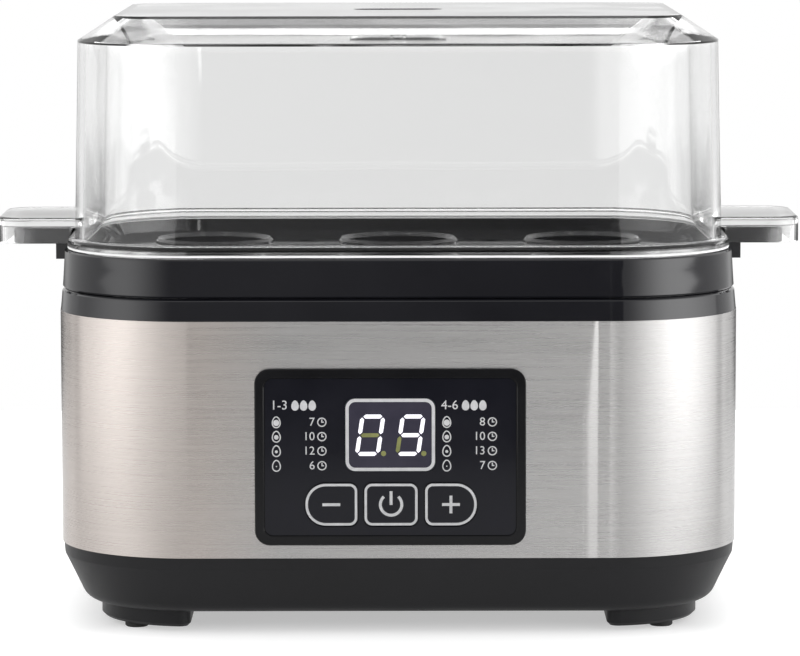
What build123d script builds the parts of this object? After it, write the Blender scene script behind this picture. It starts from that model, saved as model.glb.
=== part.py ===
from build123d import *
import os

# Electric egg cooker. Sizes in millimetres, +Z up, -Y towards the control panel.
# The origin is the middle of the footprint, on the surface that the rubber pads stand on.

os.makedirs("parts", exist_ok=True)

# Footprint: every outline round the body is a rounded rectangle, and all share four corner
# centres. An outline is named by its reach, which is how far it lies outside those centres.
corner_x = 64.0
corner_y = 33.0

# Heights, from the table up
pad_show = 1.6
foot_drop = 5.2
housing_height = 18.1
steel_height = 72.3
ring_height = 6.7
tray_height = 11.8
skirt_height = 3.5
lid_wall_height = 60.7
crown_height = 8.0

# Clearances
slip = 0.2
rest_gap = 0.3
tray_play = 0.4
thread_play = 0.05
screw_play = 0.25
tool_depth = 3.0

foot_z = pad_show
under_z = foot_z + foot_drop
ledge_z = under_z + housing_height
steel_top = ledge_z + steel_height
ring_top = steel_top + ring_height
tray_z = ring_top + rest_gap
rim_z = tray_z + tray_height
lid_z = rim_z + rest_gap
skirt_top = lid_z + skirt_height
shoulder_z = skirt_top + lid_wall_height
top_z = shoulder_z + crown_height

# Steel band
steel_reach = 41.0
steel_wall = 0.6
seam_gap = 0.3
seam_strip_width = 12.0
inside_reach = steel_reach - steel_wall - slip
front_y = corner_y + steel_reach

# Lower housing: a moulded skirt that tapers in to the toe, with a shelf for the base cover
moulded_wall = 2.4
housing_reach = 40.6
crease_reach = 40.3
crease_drop = 3.7
toe_reach = 33.3
toe_round = 5.0
crease_round = 1.0
upstand_height = 4.6
shelf_reach = 20.0
crease_z = ledge_z - crease_drop
upstand_z = ledge_z + upstand_height

# Base cover with its four feet
cover_reach = 29.2
cover_thick = 2.5
foot_reach = 29.0
foot_corner_round = 3.5
foot_bevel = 0.9
shelf_z = under_z + cover_thick
shelf_top = shelf_z + moulded_wall

# Rubber pads, which plug the screw wells of the feet
pad_radius = 3.65
pad_stem_radius = 3.0
pad_stem_length = 3.2
pad_bevel = 0.4
pad_reach = 17.1
well_floor = 1.8
pad_x = corner_x + pad_reach
pad_y = corner_y + pad_reach
well_z = shelf_z - well_floor

# Screws
screw_radius = 1.45
screw_head_radius = 2.8
screw_head_height = 1.8
pilot_end = 1.0
cover_screw_length = 11.8
tie_screw_length = 14.0
clamp_screw_length = 9.0
boss_radius = 3.6
screw_hole = screw_radius + screw_play
pilot_hole = screw_radius + thread_play
board_screw_radius = 1.05
board_screw_head = 2.1
board_screw_head_height = 1.5
board_screw_length = 6.0
board_pilot = board_screw_radius + thread_play

# Tie points: pillars of the upper ring that stand on lugs of the lower housing
tie_reach = 28.0
tie_y = 22.0
pillar_radius = 3.8
lug_thick = 5.0
lug_half_width = 4.6
tie_x = corner_x + tie_reach
lug_z = ledge_z - lug_thick
access_radius = 3.4

# Upper ring
ring_foot_reach = 40.9
ring_top_reach = 40.3
ring_bevel = 0.7
ring_mouth_reach = 37.2
basin_drop = 9.5
basin_reach = 19.0
basin_bevel = 1.6
basin_z = ring_top - basin_drop
basin_under = basin_z - moulded_wall

# Heating plate: a shallow water dish hung by its rim in the ring's basin
seal_thick = 0.6
seal_reach_in = 19.4
seal_reach_out = 21.6
rim_reach = 22.0
plate_rim_thick = 1.2
dish_reach = 17.6
dish_wall = 1.4
dish_depth = 6.6
dish_bevel = 2.4
plate_rim_z = basin_z + seal_thick
plate_top = plate_rim_z + plate_rim_thick
dish_floor = plate_top - dish_depth + dish_wall
dish_under = dish_floor - dish_wall

# Heating element, a tube pressed to eight flats and brazed under the dish by one of them
element_radius = 3.3
element_sides = 8
element_half_x = 55.0
element_half_y = 30.0
element_bend = 18.0
element_end_x = 14.0
element_end_drop = 11.0
element_end_bend = 6.0
terminal_length = 8.0
terminal_radius = 1.2
braze_gap = 0.05
element_z = dish_under - element_radius - braze_gap

# Clamp bar under the dish, with the thermostat held between them
clamp_reach = 24.0
clamp_bar_width = 16.0
clamp_bar_thick = 1.2
clamp_end = 4.5
clamp_y = corner_y + clamp_reach
thermostat_radius = 8.0
thermostat_cap_radius = 6.5
thermostat_cap_height = 1.8
thermostat_height = 8.4
blade_width = 6.3
blade_thick = 0.8
blade_length = 8.0
blade_rise = 2.0
clamp_top = dish_under - thermostat_height

# Thermal fuse in its clip
fuse_radius = 2.0
fuse_length = 14.0
fuse_x = 30.0
fuse_clip_width = 6.0
fuse_clip_wall = 1.0
fuse_z = dish_under - fuse_radius - fuse_clip_wall

# Control panel, measured from its own middle on the steel's face
panel_x = -2.5
panel_foot = 4.1
panel_head = 3.0
bezel_width = 82.2
bezel_height = 53.9
bezel_round = 4.6
bezel_rim = 2.85
bezel_proud = 1.0
bezel_bevel = 0.3
opening_round = 2.65
bezel_wall = 1.25
bezel_depth = 6.0
window_play = 0.2
fascia_recess = 0.7
fascia_thick = 1.5
fascia_play = 0.15
fascia_ledge = 1.75
fascia_ledge_round = 1.0
ledge_thick = 1.2
hook_length = 8.0
hook_thick = 1.2
hook_catch = 0.8
hook_x = 24.0
fascia_front = bezel_proud - fascia_recess
fascia_back = fascia_front - fascia_thick
opening_width = bezel_width - 2 * bezel_rim
opening_height = bezel_height - 2 * bezel_rim
panel_z = ledge_z + panel_foot + bezel_height / 2
ring_skirt_z = panel_z + opening_height / 2 + bezel_wall + hook_catch + panel_head

# Display
display_y = 6.8
lens_width = 27.1
lens_height = 22.1
lens_round = 2.4
module_width = 25.0
module_height = 19.0

# Push buttons
button_y = -14.5
button_height = 13.3
button_round = 2.6
button_end_flat = 0.1
button_play = 0.25
button_proud = 0.2
button_bevel = 0.15
button_lip = 0.6
button_lip_thick = 0.8
button_travel = 0.4
stem_radius = 1.6
stem_length = 2.8
minus_x = -17.9
power_x = 0.2
plus_x = 18.35
minus_width = 16.2
power_width = 16.6
plus_width = 16.1
lip_front = fascia_back - slip
lip_back = lip_front - button_lip_thick
stem_end = lip_back - stem_length

# Control board with its switches and buzzer
board_thick = 1.6
board_front = -10.0
board_margin = 2.2
post_radius = 2.6
post_inset = 3.3
switch_size = 6.0
switch_body = 3.5
plunger_radius = 1.7
plunger_gap = 0.1
buzzer_radius = 6.0
buzzer_port_radius = 1.5
buzzer_height = 6.0
buzzer_inset_x = 17.0
buzzer_inset_y = 15.0
post_x = opening_width / 2 - post_inset
post_y = opening_height / 2 - post_inset
board_width = 2 * (post_x + board_margin)
board_height = 2 * (post_y + board_margin)
buzzer_x = buzzer_inset_x - board_width / 2
buzzer_y = buzzer_inset_y - board_height / 2
plunger_top = stem_end - button_travel - plunger_gap
board_back = board_front - board_thick

# Power board, on pillars of the base cover
power_board_x = 76.0
power_board_y = 42.0
power_board_mid_y = 23.0
power_pillar_height = 7.3
power_pillar_radius = 2.6
power_pillar_inset = 4.5
relay_size = (19.0, 15.5, 15.3)
relay_x = -22.0
relay_bevel = 0.8
transformer_size = (22.0, 18.0, 17.0)
transformer_core = (10.0, 24.0, 12.0)
transformer_x = 5.0
capacitor_radius = 5.0
capacitor_height = 13.0
capacitor_x = 28.0
capacitor_bevel = 0.6
terminal_size = (24.0, 12.0, 13.0)
terminal_x = 62.0
terminal_y = 38.0
terminal_pitch = 8.0
terminal_well_radius = 2.2
terminal_well_depth = 5.0
power_board_z = shelf_z + power_pillar_height
power_board_top = power_board_z + board_thick

# Cord gland at the rear, in a boss of the lower housing
gland_x = 45.0
gland_boss_radius = 6.5
gland_boss_depth = 6.7
gland_flange_radius = 6.2
gland_body_radius = 4.6
gland_barb_radius = 5.4
gland_barb_length = 2.8
gland_bore = 3.3
gland_edge_round = 0.7
gland_z = (shelf_top + ledge_z) / 2
gland_face_y = corner_y + housing_reach
rear_y = front_y + bezel_proud
gland_boss_y = gland_face_y - gland_boss_depth

# Egg tray
tray_foot_reach = 40.2
tray_top_reach = 39.5
tray_wall = 2.2
tray_bevel = 0.5
spigot_depth = 5.5
spigot_wall = 1.9
egg_floor_drop = 3.8
egg_floor_thick = 2.0
egg_floor_lap = 1.0
tray_wall_draft = 0.5
egg_pitch_x = 60.0
egg_pitch_y = 62.0
egg_hole_radius = 17.0
collar_wall = 2.4
collar_height = 1.3
collar_bevel = 0.9
seat_drop = 0.2
seat_rise = 2.1
sleeve_depth = 5.0
steam_hole_radius = 2.5
spigot_reach = ring_mouth_reach - tray_play
egg_floor_z = rim_z - egg_floor_drop
egg_floor_under = egg_floor_z - egg_floor_thick

# Lid, whose skirt stands a step inside the tray's rim
skirt_step = 0.9
skirt_shelf = 2.3
lid_draft = 1.35
lid_wall = 2.2
skirt_round = 1.4
skirt_fall = 0.3
skirt_lap = 0.4
skirt_web_low = 2.0
skirt_web_high = 1.0
crown_inset = 12.3
crown_corner = 10.0
ear_gap = rest_gap
ear_thick = 3.0
ear_wall = 1.8
ear_play = 0.4
ear_end_play = 3.2
ear_edge_round = 1.2
vent_width = 28.0
vent_depth_y = 9.0
vent_recess = 1.5
vent_floor = 1.3
vent_hole_radius = 2.7
skirt_reach = tray_top_reach - skirt_step
foot_wall_reach = skirt_reach - skirt_shelf
shoulder_reach = foot_wall_reach - lid_draft

# Tray handles, which start beside the lid's skirt and reach out under its ears
grip_length = 18.0
handle_half_depth = 19.8
handle_thick = 4.9
handle_skin = 2.0
handle_corner_round = 7.0
handle_edge_round = 0.6
root_margin = 0.1
leg_thick = 4.4
leg_drop = 4.8
handle_root_reach = skirt_reach + ear_play
handle_reach = handle_root_reach + grip_length
leg_reach_out = handle_root_reach + leg_thick
handle_top = rim_z + handle_thick
ear_under = handle_top + ear_gap
ear_top = ear_under + ear_thick
ear_reach = handle_reach + ear_end_play + ear_wall
ear_half_depth = handle_half_depth + ear_play + ear_wall
ear_lip_z = rim_z + slip


def outline(reach, z):
    """The footprint's rounded rectangle at one reach and height."""
    return Pos(0, 0, z) * RectangleRounded(2 * (corner_x + reach), 2 * (corner_y + reach), reach)


def slab(reach, low, high):
    """A flat piece with upright edges that follows the footprint."""
    return extrude(outline(reach, low), high - low)


def taper(low_reach, low, high_reach, high):
    """A block that follows the footprint and changes its reach on the way up."""
    return loft([outline(low_reach, low).face(), outline(high_reach, high).face()], ruled=True)


def section(points, rounds=(), bevels=()):
    """A closed outline of (reach, height) points, with some corners rounded or bevelled."""
    face = make_face(Polyline(*points, close=True))
    for point, radius in rounds:
        face = fillet(face.vertices().sort_by_distance(point)[0], radius)
    for point, size in bevels:
        face = chamfer(face.vertices().sort_by_distance(point)[0], size)
    return face


def band(face):
    """A section of reach against height, carried once round the footprint."""
    upright = Pos(corner_x, corner_y, 0) * (Plane.XZ * face)
    corner = revolve(upright, Axis((corner_x, corner_y, 0), (0, 0, 1)), 90)
    end_wall = extrude(upright, 2 * corner_y, dir=(0, -1, 0))
    turned = Pos(corner_x, corner_y, 0) * Rot(0, 0, 90) * (Plane.XZ * face)
    long_wall = extrude(turned, 2 * corner_x, dir=(-1, 0, 0))
    half = corner + mirror(corner, Plane.XZ) + end_wall
    return half + mirror(half, Plane.YZ) + long_wall + mirror(long_wall, Plane.XZ)


def post(x, y, radius, low, high):
    """An upright round bar, or the tool for an upright round hole."""
    return Pos(x, y, low) * Cylinder(radius, high - low, align=(Align.CENTER, Align.CENTER, Align.MIN))


def posts(places, radius, low, high):
    """The same upright bar at several places."""
    return [post(x, y, radius, low, high) for x, y in places]


def block(x, y, z, size):
    """A box that stands on z, with its middle over (x, y)."""
    return Pos(x, y, z) * Box(*size, align=(Align.CENTER, Align.CENTER, Align.MIN))


def four(x, y):
    """A place and its mirror images about both middle lines."""
    return [(side * x, end * y) for side in (-1, 1) for end in (-1, 1)]


def on_panel(sketch, back, front):
    """A flat piece of the control panel between two depths, counted outwards from the steel."""
    plane = Plane((panel_x, -front_y, panel_z), x_dir=(1, 0, 0), z_dir=(0, -1, 0))
    return plane * (Pos(0, 0, back) * extrude(sketch, front - back))


def screw(x, y, seat, length):
    """A pan-head screw driven upwards, with its head under the seat."""
    head = post(x, y, screw_head_radius, seat - screw_head_height, seat)
    return head + post(x, y, screw_radius, seat, seat + length)


def housing_wall_reach(z):
    """The reach of the lower housing's sloping outer face at a height."""
    share = (z - under_z) / (crease_z - under_z)
    return toe_reach + (crease_reach - toe_reach) * share


def make_lower_housing():
    lip = cover_reach + slip
    inner = inside_reach - moulded_wall
    heel = housing_wall_reach(shelf_top) - moulded_wall
    wall = section(
        [
            (lip, under_z),
            (toe_reach, under_z),
            (crease_reach, crease_z),
            (housing_reach, ledge_z),
            (inside_reach, ledge_z),
            (inside_reach, upstand_z),
            (inner, upstand_z),
            (inner, crease_z),
            (heel, shelf_top),
            (shelf_reach, shelf_top),
            (shelf_reach, shelf_z),
            (lip, shelf_z),
        ],
        [((toe_reach, under_z), toe_round), ((crease_reach, crease_z), crease_round)],
    )
    housing = band(wall)
    lug_length = inner - tie_reach + lug_half_width + moulded_wall / 2
    for x, y in four(tie_x, tie_y):
        side = 1 if x > 0 else -1
        middle = side * (tie_x - lug_half_width + lug_length / 2)
        housing += block(middle, y, lug_z, (lug_length, 2 * lug_half_width, lug_thick))
    housing += posts(four(pad_x, pad_y), boss_radius, shelf_z, crease_z)
    boss = Cylinder(gland_boss_radius, gland_boss_depth, align=(Align.CENTER, Align.CENTER, Align.MIN))
    housing += Pos(gland_x, gland_face_y, gland_z) * Rot(90, 0, 0) * boss
    housing -= posts(four(pad_x, pad_y), pilot_hole, shelf_z, crease_z - pilot_end)
    housing -= posts(four(tie_x, tie_y), screw_hole, lug_z, ledge_z)
    housing -= posts(four(tie_x, tie_y), access_radius, shelf_z, shelf_top)
    bore = Cylinder(gland_body_radius + slip, 4 * gland_boss_depth)
    housing -= Pos(gland_x, gland_face_y, gland_z) * Rot(90, 0, 0) * bore
    return housing


def make_foot():
    quarter = Circle(foot_reach) & Rectangle(foot_reach, foot_reach, align=(Align.MIN, Align.MIN))
    quarter = fillet(quarter.vertices(), foot_corner_round)
    foot = extrude(Pos(corner_x, corner_y, foot_z) * quarter, foot_drop)
    return chamfer(foot.edges().group_by(Axis.Z)[0], foot_bevel)


def make_base_cover():
    foot = make_foot()
    pair = [foot, mirror(foot, Plane.XZ)]
    cover = slab(cover_reach, under_z, shelf_z) + pair + [mirror(part, Plane.YZ) for part in pair]
    cover += posts(power_pillars(), power_pillar_radius, shelf_z, power_board_z)
    cover -= posts(four(pad_x, pad_y), pad_stem_radius + slip, foot_z, well_z)
    cover -= posts(four(pad_x, pad_y), screw_hole, well_z, shelf_z)
    cover -= posts(power_pillars(), board_pilot, shelf_z, power_board_z)
    return cover


def make_foot_pads():
    pads = []
    for x, y in four(pad_x, pad_y):
        bump = post(x, y, pad_radius, 0, foot_z)
        bump = chamfer(bump.edges().group_by(Axis.Z)[0], pad_bevel)
        pads.append(bump + post(x, y, pad_stem_radius, foot_z, foot_z + pad_stem_length))
    return pads


def make_steel_band():
    sleeve = slab(steel_reach, ledge_z, steel_top) - slab(steel_reach - steel_wall, ledge_z, steel_top)
    window = RectangleRounded(
        opening_width + 2 * (bezel_wall + window_play),
        opening_height + 2 * (bezel_wall + window_play),
        opening_round + bezel_wall + window_play,
    )
    sleeve -= on_panel(window, -tool_depth, tool_depth)
    return sleeve - block(0, front_y, ledge_z, (seam_gap, tool_depth, steel_height))


def make_seam_strip():
    low = upstand_z + slip
    high = ring_skirt_z - slip
    behind_steel = front_y - steel_wall - steel_wall / 2
    return block(0, behind_steel, low, (seam_strip_width, steel_wall, high - low))


def make_upper_ring():
    inner = inside_reach - moulded_wall
    wall = section(
        [
            (ring_foot_reach, steel_top),
            (ring_top_reach, ring_top),
            (ring_mouth_reach, ring_top),
            (ring_mouth_reach, basin_z),
            (basin_reach, basin_z),
            (basin_reach, basin_under),
            (inner, basin_under),
            (inner, ring_skirt_z),
            (inside_reach, ring_skirt_z),
            (inside_reach, steel_top),
        ],
        bevels=[((ring_top_reach, ring_top), ring_bevel), ((ring_mouth_reach, basin_z), basin_bevel)],
    )
    ring = band(wall)
    ring += posts(four(tie_x, tie_y), pillar_radius, ledge_z, basin_under)
    ring += posts([(0, -clamp_y), (0, clamp_y)], boss_radius, clamp_top, basin_under)
    ring -= posts(four(tie_x, tie_y), pilot_hole, ledge_z, ledge_z + tie_screw_length)
    return ring - posts([(0, -clamp_y), (0, clamp_y)], pilot_hole, clamp_top, basin_under)


def make_plate_seal():
    return slab(seal_reach_out, basin_z, plate_rim_z) - slab(seal_reach_in, basin_z, plate_rim_z)


def make_heating_plate():
    dish = slab(dish_reach, dish_under, plate_top)
    dish = chamfer(dish.edges().group_by(Axis.Z)[0], dish_bevel)
    hollow = slab(dish_reach - dish_wall, dish_floor, plate_top)
    hollow = chamfer(hollow.edges().group_by(Axis.Z)[0], dish_bevel - dish_wall / 2)
    return dish + slab(rim_reach, plate_rim_z, plate_top) - hollow


def make_heating_element():
    route = [
        (-element_end_x, element_half_y, element_z - element_end_drop),
        (-element_end_x, element_half_y, element_z),
        (-element_half_x, element_half_y, element_z),
        (-element_half_x, -element_half_y, element_z),
        (element_half_x, -element_half_y, element_z),
        (element_half_x, element_half_y, element_z),
        (element_end_x, element_half_y, element_z),
        (element_end_x, element_half_y, element_z - element_end_drop),
    ]
    bends = [element_end_bend] + 4 * [element_bend] + [element_end_bend]
    path = FilletPolyline(*route, radius=bends)
    flats = Rot(0, 0, 180 / element_sides) * RegularPolygon(element_radius, element_sides, major_radius=False)
    tube = sweep(Pos(*route[0]) * flats, path)
    low = element_z - element_end_drop - terminal_length
    ends = [(-element_end_x, element_half_y), (element_end_x, element_half_y)]
    return tube + posts(ends, terminal_radius, low, element_z - element_end_drop)


def make_clamp_bar():
    length = 2 * (clamp_y + clamp_end)
    bar = block(0, 0, clamp_top - clamp_bar_thick, (clamp_bar_width, length, clamp_bar_thick))
    bar = fillet(bar.edges().filter_by(Axis.Z), clamp_bar_width / 4)
    return bar - posts([(0, -clamp_y), (0, clamp_y)], screw_hole, clamp_top - clamp_bar_thick, clamp_top)


def make_thermostat():
    neck = dish_under - thermostat_cap_height
    body = post(0, 0, thermostat_radius, clamp_top, neck) + post(0, 0, thermostat_cap_radius, neck, dish_under)
    reach = 2 * (thermostat_radius + blade_length)
    return body + block(0, 0, clamp_top + blade_rise, (reach, blade_width, blade_thick))


def make_thermal_fuse():
    body = Cylinder(fuse_radius, fuse_length)
    return Pos(fuse_x, 0, fuse_z) * Rot(90, 0, 0) * body


def make_fuse_clip():
    high = 2 * (fuse_radius + fuse_clip_wall)
    width = 2 * (fuse_radius + fuse_clip_wall)
    saddle = block(fuse_x, 0, dish_under - high, (width, fuse_clip_width, high))
    saddle += block(fuse_x, 0, dish_under - fuse_clip_wall, (2 * width, fuse_clip_width, fuse_clip_wall))
    bore = Cylinder(fuse_radius + thread_play, fuse_length)
    return saddle - Pos(fuse_x, 0, fuse_z) * Rot(90, 0, 0) * bore


def make_control_bezel():
    flange = RectangleRounded(bezel_width, bezel_height, bezel_round)
    frame = on_panel(flange, 0, bezel_proud)
    tub_width = opening_width + 2 * bezel_wall
    tub_height = opening_height + 2 * bezel_wall
    frame += on_panel(RectangleRounded(tub_width, tub_height, opening_round + bezel_wall), -bezel_depth, 0)
    opening = RectangleRounded(opening_width, opening_height, opening_round)
    frame -= on_panel(opening, fascia_back, bezel_proud)
    clear_width = opening_width - 2 * fascia_ledge
    clear_height = opening_height - 2 * fascia_ledge
    clear = RectangleRounded(clear_width, clear_height, fascia_ledge_round)
    frame -= on_panel(clear, fascia_back - ledge_thick, fascia_back)
    frame -= on_panel(opening, -bezel_depth, fascia_back - ledge_thick)
    for x, y in four(post_x, post_y):
        frame += on_panel(Pos(x, y) * Circle(post_radius), board_front, fascia_back - ledge_thick)
        frame -= on_panel(Pos(x, y) * Circle(board_pilot), board_front, fascia_back - ledge_thick)
    for x, end in four(hook_x, 1):
        hook = Pos(x, end * (tub_height + hook_catch) / 2) * Rectangle(hook_length, hook_catch)
        frame += on_panel(hook, -steel_wall - slip - hook_thick, -steel_wall - slip)
    front = frame.edges().group_by(Axis.Y)[0]
    return chamfer(front, bezel_bevel)


def button_sketch(x, width, round_end, grow=0.0):
    """A key's outline; round_end is -1 or 1 for a fully round end on that side, or 0."""
    tall = button_height + 2 * grow
    key = Rectangle(width + 2 * grow, tall)
    sides = key.vertices().group_by(Axis.X)
    full = (tall - button_end_flat) / 2
    left = full if round_end < 0 else button_round + grow
    right = full if round_end > 0 else button_round + grow
    key = fillet(sides[0], left)
    key = fillet(key.vertices().group_by(Axis.X)[-1], right)
    return Pos(x, button_y) * key


def buttons():
    """Each key's name, its place along the panel, its width and its round end."""
    return [
        ("minus_button", minus_x, minus_width, -1),
        ("power_button", power_x, power_width, 0),
        ("plus_button", plus_x, plus_width, 1),
    ]


def make_control_fascia():
    plate = RectangleRounded(
        opening_width - 2 * fascia_play, opening_height - 2 * fascia_play, opening_round - fascia_play
    )
    fascia = on_panel(plate, fascia_back, fascia_front)
    window = RectangleRounded(
        lens_width + 2 * fascia_play, lens_height + 2 * fascia_play, lens_round + fascia_play
    )
    fascia -= on_panel(Pos(0, display_y) * window, fascia_back, fascia_front)
    for name, x, width, round_end in buttons():
        fascia -= on_panel(button_sketch(x, width, round_end, button_play), fascia_back, fascia_front)
    return fascia


def make_display_lens():
    lens = RectangleRounded(lens_width, lens_height, lens_round)
    return on_panel(Pos(0, display_y) * lens, fascia_back, fascia_front)


def make_display_module():
    case = Pos(0, display_y) * Rectangle(module_width, module_height)
    return on_panel(case, board_front, fascia_back)


def make_button(x, width, round_end):
    cap = on_panel(button_sketch(x, width, round_end), lip_back, fascia_front + button_proud)
    front = cap.edges().group_by(Axis.Y)[0]
    cap = chamfer(front, button_bevel)
    cap += on_panel(button_sketch(x, width, round_end, button_lip), lip_back, lip_front)
    return cap + on_panel(Pos(x, button_y) * Circle(stem_radius), stem_end, lip_back)


def make_control_board():
    board = on_panel(Rectangle(board_width, board_height), board_back, board_front)
    for x, y in four(post_x, post_y):
        board -= on_panel(Pos(x, y) * Circle(board_screw_radius + slip), board_back, board_front)
    return board


def power_pillars():
    """The places of the power board's four pillars."""
    x = power_board_x / 2 - power_pillar_inset
    y = power_board_y / 2 - power_pillar_inset
    return [(side, power_board_mid_y + end) for side, end in four(x, y)]


def make_board_screws():
    screws = []
    tip = board_back + board_screw_length
    for x, y in four(post_x, post_y):
        shank = on_panel(Pos(x, y) * Circle(board_screw_radius), board_back, tip)
        head = on_panel(Pos(x, y) * Circle(board_screw_head), board_back - board_screw_head_height, board_back)
        screws.append(shank + head)
    for x, y in power_pillars():
        shank = post(x, y, board_screw_radius, power_board_top - board_screw_length, power_board_top)
        head = post(x, y, board_screw_head, power_board_top, power_board_top + board_screw_head_height)
        screws.append(shank + head)
    return screws


def make_tact_switches():
    switches = []
    for name, x, width, round_end in buttons():
        body = on_panel(Pos(x, button_y) * Rectangle(switch_size, switch_size), board_front, board_front + switch_body)
        plunger = on_panel(Pos(x, button_y) * Circle(plunger_radius), board_front + switch_body, plunger_top)
        switches.append(body + plunger)
    return switches


def make_buzzer():
    can = Pos(buzzer_x, buzzer_y) * Circle(buzzer_radius)
    port = Pos(buzzer_x, buzzer_y) * Circle(buzzer_port_radius)
    body = on_panel(can, board_back - buzzer_height, board_back)
    return body - on_panel(port, board_back - buzzer_height, board_back - buzzer_height / 2)


def make_power_board():
    board = block(0, power_board_mid_y, power_board_z, (power_board_x, power_board_y, board_thick))
    return board - posts(power_pillars(), board_screw_radius + slip, power_board_z, power_board_top)


def make_relay():
    case = block(relay_x, power_board_mid_y, power_board_top, relay_size)
    return chamfer(case.edges().group_by(Axis.Z)[-1], relay_bevel)


def make_transformer():
    bobbin = block(transformer_x, power_board_mid_y, power_board_top, transformer_size)
    lift = (transformer_size[2] - transformer_core[2]) / 2
    return bobbin + block(transformer_x, power_board_mid_y, power_board_top + lift, transformer_core)


def make_capacitor():
    can = post(capacitor_x, power_board_mid_y, capacitor_radius, power_board_top, power_board_top + capacitor_height)
    return chamfer(can.edges().group_by(Axis.Z)[-1], capacitor_bevel)


def make_terminal_block():
    body = block(terminal_x, terminal_y, shelf_z, terminal_size)
    high = shelf_z + terminal_size[2]
    places = [(terminal_x + step * terminal_pitch, terminal_y) for step in (-1, 0, 1)]
    return body - posts(places, terminal_well_radius, high - terminal_well_depth, high)


def make_cord_gland():
    half = section(
        [
            (gland_bore, rear_y),
            (gland_flange_radius, rear_y),
            (gland_flange_radius, gland_face_y),
            (gland_body_radius, gland_face_y),
            (gland_body_radius, gland_boss_y - slip),
            (gland_barb_radius, gland_boss_y - slip),
            (gland_body_radius, gland_boss_y - slip - gland_barb_length),
            (gland_bore, gland_boss_y - slip - gland_barb_length),
        ],
        [((gland_flange_radius, rear_y), gland_edge_round)],
    )
    bush = revolve(half, Axis.Y, 360)
    return Pos(gland_x, 0, gland_z) * bush


def egg_places():
    """The middles of the six egg holes, three along and two deep."""
    return [(column * egg_pitch_x, row * egg_pitch_y / 2) for column in (-1, 0, 1) for row in (-1, 1)]


def steam_places():
    """The small holes that let steam up between the eggs."""
    between = [(side * egg_pitch_x / 2, row * egg_pitch_y / 2) for side in (-1, 1) for row in (-1, 0, 1)]
    middle = [(column * egg_pitch_x, 0) for column in (-1, 0, 1)]
    return between + middle


def make_handle():
    """One handle of the tray, on the right: a thin grip, hollow below, on a short leg."""
    root = corner_x + handle_root_reach
    tip = corner_x + handle_reach
    plan = Pos((root + tip) / 2, 0) * Rectangle(tip - root, 2 * handle_half_depth)
    plan = fillet(plan.vertices().group_by(Axis.X)[-1], handle_corner_round)
    grip = extrude(Pos(0, 0, rim_z) * plan, handle_thick)
    top_edges = grip.edges().group_by(Axis.Z)[-1].filter_by_position(Axis.X, root + root_margin, tip)
    grip = fillet(top_edges, handle_edge_round)
    leg_out = corner_x + leg_reach_out
    hollow_root = leg_out + root_margin
    hollow_tip = tip - handle_skin
    hollow = Pos((hollow_root + hollow_tip) / 2, 0) * Rectangle(
        hollow_tip - hollow_root, 2 * (handle_half_depth - handle_skin)
    )
    hollow = fillet(hollow.vertices().group_by(Axis.X)[-1], handle_corner_round - handle_skin)
    grip -= extrude(Pos(0, 0, rim_z) * hollow, handle_thick - handle_skin)
    leg_root = corner_x + tray_top_reach - tray_wall / 2
    leg = Pos((leg_root + leg_out) / 2, 0) * Rectangle(leg_out - leg_root, 2 * handle_half_depth)
    return grip + extrude(Pos(0, 0, rim_z - leg_drop) * leg, leg_drop)


def make_egg_tray():
    wall_in = tray_foot_reach - tray_wall
    spigot_in = spigot_reach - spigot_wall
    wall = section(
        [
            (wall_in, tray_z),
            (tray_foot_reach, tray_z),
            (tray_top_reach, rim_z),
            (tray_top_reach - tray_wall, rim_z),
            (tray_top_reach - tray_wall - tray_wall_draft, egg_floor_z),
            (spigot_in - egg_floor_lap, egg_floor_z),
            (spigot_in - egg_floor_lap, egg_floor_under),
            (spigot_in, egg_floor_under),
            (spigot_in, tray_z - spigot_depth),
            (spigot_reach, tray_z - spigot_depth),
            (spigot_reach, egg_floor_under),
            (wall_in, egg_floor_under),
        ],
        bevels=[((tray_foot_reach, tray_z), tray_bevel), ((tray_top_reach, rim_z), tray_bevel)],
    )
    tray = band(wall) + slab(spigot_in - egg_floor_lap / 2, egg_floor_under, egg_floor_z)
    collar_radius = egg_hole_radius + collar_wall
    sleeve_z = egg_floor_under - sleeve_depth
    for x, y in egg_places():
        collar = post(x, y, collar_radius, sleeve_z, egg_floor_z + collar_height)
        tray += chamfer(collar.edges().group_by(Axis.Z)[-1], collar_bevel)
    for x, y in egg_places():
        tray -= post(x, y, egg_hole_radius, sleeve_z, egg_floor_z + collar_height)
        seat = Cone(egg_hole_radius, collar_radius, seat_rise)
        tray -= Pos(x, y, egg_floor_z + collar_height - seat_drop) * seat
    tray -= posts(steam_places(), steam_hole_radius, egg_floor_under, egg_floor_z)
    handle = make_handle()
    return tray + handle + mirror(handle, Plane.YZ)


def crown_outline(shrink, z):
    """The lid's flat top: nearly square corners, so that the bevel meets them in mitres."""
    wide = 2 * (corner_x + shoulder_reach - crown_inset - shrink)
    deep = 2 * (corner_y + shoulder_reach - crown_inset - shrink)
    return (Pos(0, 0, z) * RectangleRounded(wide, deep, crown_corner)).face()


def lid_form(shrink, foot, shoulder, top):
    """The lid's bell, as a solid: drafted walls, and a bevelled crown lofted to the flat top."""
    walls = taper(foot_wall_reach - shrink, foot, shoulder_reach - shrink, shoulder)
    crown = loft([outline(shoulder_reach - shrink, shoulder).face(), crown_outline(shrink, top)], ruled=True)
    return walls + crown


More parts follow.
